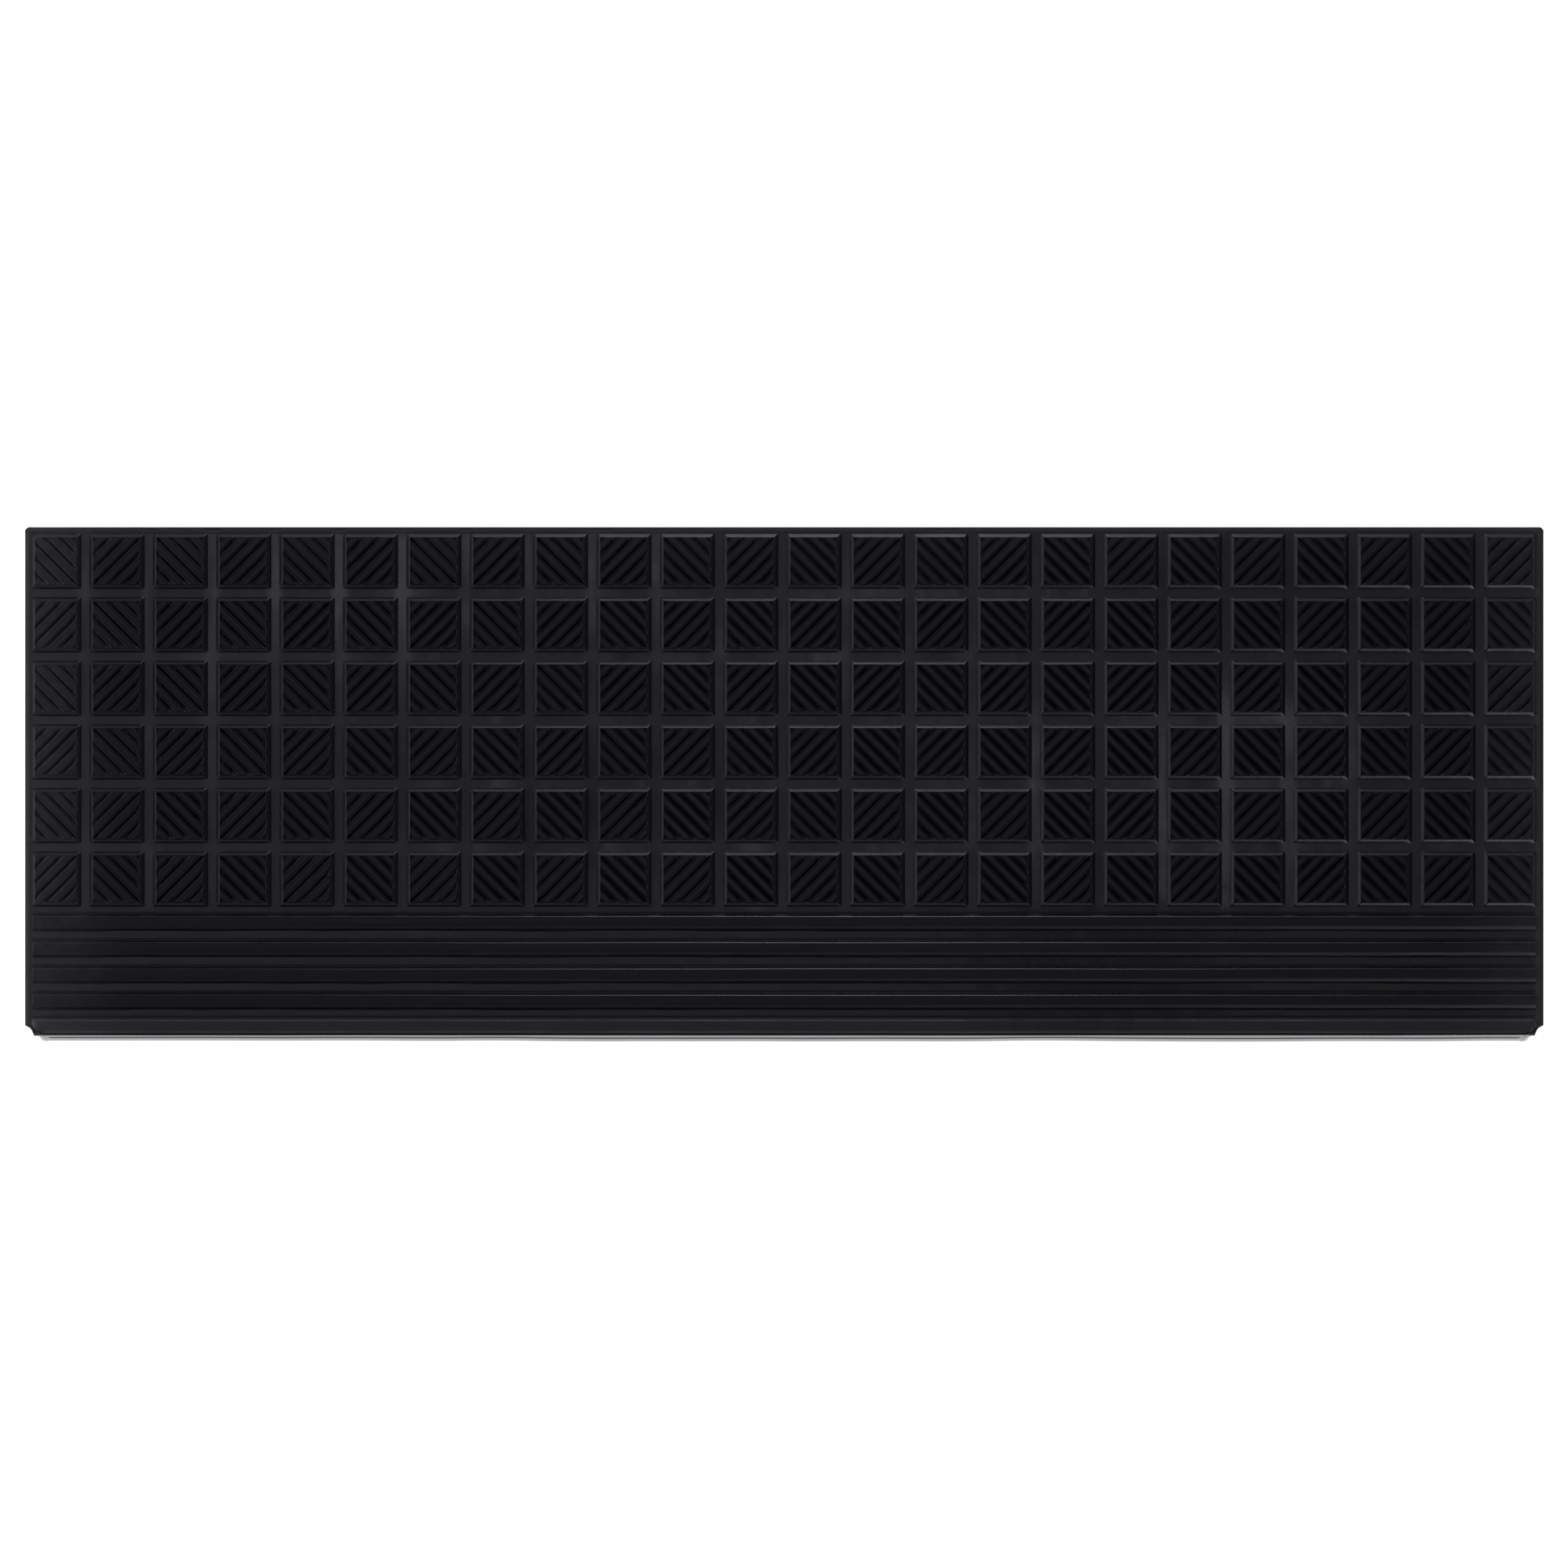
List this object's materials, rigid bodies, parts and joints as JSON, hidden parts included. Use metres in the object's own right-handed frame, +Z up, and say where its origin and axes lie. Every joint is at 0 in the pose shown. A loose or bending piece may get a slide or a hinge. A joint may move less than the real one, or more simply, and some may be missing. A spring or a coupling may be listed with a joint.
{
  "type": "rubber step mat",
  "caption": "Rectangular moulded rubber mat for a stair step, with diagonally ridged square grip blocks, raised ribs along the nose and a flexible lip that turns down over the step's edge.",
  "frame": {"origin": "centre of the flat underside that lies on the step", "axes": "+X along the mat's length, -Y towards the nose and its turned-down lip, +Z up out of the tread surface"},
  "size_m": [0.75, 0.2551, 0.0297],
  "materials": {
    "web_rubber": "smooth moulded, low gloss",
    "block_rubber": "diagonally ridged, satin",
    "nose_rubber": "ribbed, satin",
    "lip_rubber": "smooth moulded, low gloss"
  },
  "bodies": {
    "tread": {"base_sheet": "web_rubber", "edge_beads": "web_rubber", "grip_blocks_row_1": "block_rubber", "grip_blocks_row_2": "block_rubber", "grip_blocks_row_3": "block_rubber", "grip_blocks_row_4": "block_rubber", "grip_blocks_row_5": "block_rubber", "grip_blocks_row_6": "block_rubber", "nose_rib_1": "nose_rubber", "nose_rib_2": "nose_rubber", "nose_rib_3": "nose_rubber", "nose_rib_4": "nose_rubber", "nose_rib_5": "nose_rubber", "nose_bend": "nose_rubber"},
    "lip": {"nosing_lip": "lip_rubber", "lip_ribs": "lip_rubber", "lip_end_beads": "lip_rubber"}
  },
  "joints": [
    {"name": "lip_flex", "type": "hinge", "parent": "tread", "child": "lip", "pos_m": [0, -0.1225, 0.0006], "axis": [-1, 0, 0], "range_deg": [-13, 75], "stiffness_Nm_per_rad": 1.5}
  ]
}
